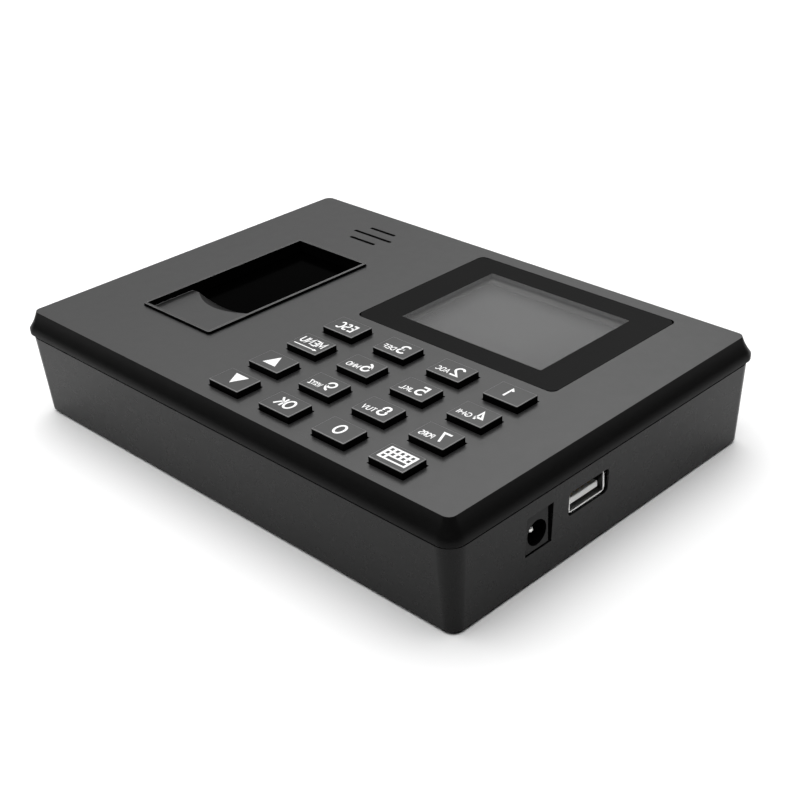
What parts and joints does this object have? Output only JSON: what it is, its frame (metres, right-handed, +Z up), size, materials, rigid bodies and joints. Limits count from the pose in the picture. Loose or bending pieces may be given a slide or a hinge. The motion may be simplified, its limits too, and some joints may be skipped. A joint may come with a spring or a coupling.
{
  "type": "fingerprint scanner terminal",
  "caption": "Desk fingerprint scanner terminal with a coved cover, number keypad, colour display, recessed finger window, loudspeaker slots, and power and USB sockets.",
  "frame": {"origin": "middle of the underside, at the level that the rubber feet stand on", "axes": "+X towards the wall with the power and USB sockets, +Y away from the user towards the display edge, +Z up"},
  "size_m": [0.165, 0.1174, 0.0333],
  "materials": {
    "cover_plastic": "fine spark-textured satin black ABS",
    "case_plastic": "satin black ABS",
    "key_plastic": "satin dark grey ABS with white printed legends",
    "foot_rubber": "matt black rubber",
    "screw_steel": "zinc-plated steel",
    "lens": "clear acrylic with a black printed border",
    "black_tape": "black adhesive foam tape or felt",
    "foam": "dark grey foam rubber",
    "lcd_glass": "grey display glass, switched off",
    "white_plastic": "white moulded plastic",
    "ivory_plastic": "ivory nylon",
    "sheet_steel": "tin-plated sheet steel",
    "flex_film": "amber polyimide film",
    "silicone": "translucent grey silicone rubber",
    "bezel_plastic": "satin black ABS",
    "scan_glass": "polished near-black coated glass",
    "clear_glass": "optical glass",
    "inner_plastic": "matt black glass-filled plastic",
    "circuit_board": "green solder mask over fibreglass",
    "lead_red": "red PVC insulation",
    "lead_black": "black PVC insulation",
    "speaker_steel": "black painted steel",
    "speaker_film": "thin moulded film",
    "magnet": "nickel-plated magnet",
    "chip_resin": "matt black moulding resin",
    "capacitor_sleeve": "dark blue shrink sleeve",
    "ferrite": "dark grey ferrite",
    "cell_steel": "nickel-plated steel",
    "socket_steel": "nickel-plated sheet steel",
    "gold_contact": "gold-plated contact",
    "jack_plastic": "satin black nylon",
    "pin_metal": "nickel-plated brass pin"
  },
  "bodies": {
    "terminal": {"top_cover": "cover_plastic", "bottom_case": "case_plastic", "rubber_feet": "foot_rubber", "case_screws": "screw_steel", "display_lens": "lens", "lens_tape": "black_tape", "lcd_gasket": "foam", "lcd_panel": "lcd_glass", "lcd_backlight": "white_plastic", "lcd_tray": "sheet_steel", "lcd_holder": "white_plastic", "lcd_flex": "flex_film", "flex_socket": "ivory_plastic", "keypad_membrane": "silicone", "sensor_bezel": "bezel_plastic", "sensor_glass": "scan_glass", "sensor_prism": "clear_glass", "sensor_housing": "inner_plastic", "sensor_camera": "inner_plastic", "sensor_board": "circuit_board", "sensor_screws": "screw_steel", "sensor_cable": "lead_red", "speaker_mesh": "black_tape", "speaker_basket": "speaker_steel", "speaker_cone": "speaker_film", "speaker_magnet": "magnet", "speaker_leads": "lead_black", "main_board": "circuit_board", "board_screws": "screw_steel", "board_chips": "chip_resin", "board_capacitors": "capacitor_sleeve", "power_inductor": "ferrite", "clock_crystal": "sheet_steel", "wire_headers": "ivory_plastic", "coin_cell_holder": "inner_plastic", "coin_cell": "cell_steel", "usb_shell": "socket_steel", "usb_insulator": "white_plastic", "usb_contacts": "gold_contact", "dc_jack_body": "jack_plastic", "dc_jack_pin": "pin_metal", "dc_jack_spring": "gold_contact"},
    "key_ime": {"key_ime": "key_plastic"},
    "key_0": {"key_0": "key_plastic"},
    "key_ok": {"key_ok": "key_plastic"},
    "key_down": {"key_down": "key_plastic"},
    "key_7": {"key_7": "key_plastic"},
    "key_8": {"key_8": "key_plastic"},
    "key_9": {"key_9": "key_plastic"},
    "key_up": {"key_up": "key_plastic"},
    "key_4": {"key_4": "key_plastic"},
    "key_5": {"key_5": "key_plastic"},
    "key_6": {"key_6": "key_plastic"},
    "key_menu": {"key_menu": "key_plastic"},
    "key_1": {"key_1": "key_plastic"},
    "key_2": {"key_2": "key_plastic"},
    "key_3": {"key_3": "key_plastic"},
    "key_esc": {"key_esc": "key_plastic"}
  },
  "joints": [
    {"name": "key_ime_press", "type": "slide", "parent": "terminal", "child": "key_ime", "axis": [0, 0, -1], "range_m": [0, 0.0008], "stiffness_N_per_m": 1500, "springref_m": -0.0004, "deforming": ["keypad_membrane"]},
    {"name": "key_0_press", "type": "slide", "parent": "terminal", "child": "key_0", "axis": [0, 0, -1], "range_m": [0, 0.0008], "stiffness_N_per_m": 1500, "springref_m": -0.0004, "deforming": ["keypad_membrane"]},
    {"name": "key_ok_press", "type": "slide", "parent": "terminal", "child": "key_ok", "axis": [0, 0, -1], "range_m": [0, 0.0008], "stiffness_N_per_m": 1500, "springref_m": -0.0004, "deforming": ["keypad_membrane"]},
    {"name": "key_down_press", "type": "slide", "parent": "terminal", "child": "key_down", "axis": [0, 0, -1], "range_m": [0, 0.0008], "stiffness_N_per_m": 1500, "springref_m": -0.0004, "deforming": ["keypad_membrane"]},
    {"name": "key_7_press", "type": "slide", "parent": "terminal", "child": "key_7", "axis": [0, 0, -1], "range_m": [0, 0.0008], "stiffness_N_per_m": 1500, "springref_m": -0.0004, "deforming": ["keypad_membrane"]},
    {"name": "key_8_press", "type": "slide", "parent": "terminal", "child": "key_8", "axis": [0, 0, -1], "range_m": [0, 0.0008], "stiffness_N_per_m": 1500, "springref_m": -0.0004, "deforming": ["keypad_membrane"]},
    {"name": "key_9_press", "type": "slide", "parent": "terminal", "child": "key_9", "axis": [0, 0, -1], "range_m": [0, 0.0008], "stiffness_N_per_m": 1500, "springref_m": -0.0004, "deforming": ["keypad_membrane"]},
    {"name": "key_up_press", "type": "slide", "parent": "terminal", "child": "key_up", "axis": [0, 0, -1], "range_m": [0, 0.0008], "stiffness_N_per_m": 1500, "springref_m": -0.0004, "deforming": ["keypad_membrane"]},
    {"name": "key_4_press", "type": "slide", "parent": "terminal", "child": "key_4", "axis": [0, 0, -1], "range_m": [0, 0.0008], "stiffness_N_per_m": 1500, "springref_m": -0.0004, "deforming": ["keypad_membrane"]},
    {"name": "key_5_press", "type": "slide", "parent": "terminal", "child": "key_5", "axis": [0, 0, -1], "range_m": [0, 0.0008], "stiffness_N_per_m": 1500, "springref_m": -0.0004, "deforming": ["keypad_membrane"]},
    {"name": "key_6_press", "type": "slide", "parent": "terminal", "child": "key_6", "axis": [0, 0, -1], "range_m": [0, 0.0008], "stiffness_N_per_m": 1500, "springref_m": -0.0004, "deforming": ["keypad_membrane"]},
    {"name": "key_menu_press", "type": "slide", "parent": "terminal", "child": "key_menu", "axis": [0, 0, -1], "range_m": [0, 0.0008], "stiffness_N_per_m": 1500, "springref_m": -0.0004, "deforming": ["keypad_membrane"]},
    {"name": "key_1_press", "type": "slide", "parent": "terminal", "child": "key_1", "axis": [0, 0, -1], "range_m": [0, 0.0008], "stiffness_N_per_m": 1500, "springref_m": -0.0004, "deforming": ["keypad_membrane"]},
    {"name": "key_2_press", "type": "slide", "parent": "terminal", "child": "key_2", "axis": [0, 0, -1], "range_m": [0, 0.0008], "stiffness_N_per_m": 1500, "springref_m": -0.0004, "deforming": ["keypad_membrane"]},
    {"name": "key_3_press", "type": "slide", "parent": "terminal", "child": "key_3", "axis": [0, 0, -1], "range_m": [0, 0.0008], "stiffness_N_per_m": 1500, "springref_m": -0.0004, "deforming": ["keypad_membrane"]},
    {"name": "key_esc_press", "type": "slide", "parent": "terminal", "child": "key_esc", "axis": [0, 0, -1], "range_m": [0, 0.0008], "stiffness_N_per_m": 1500, "springref_m": -0.0004, "deforming": ["keypad_membrane"]}
  ]
}
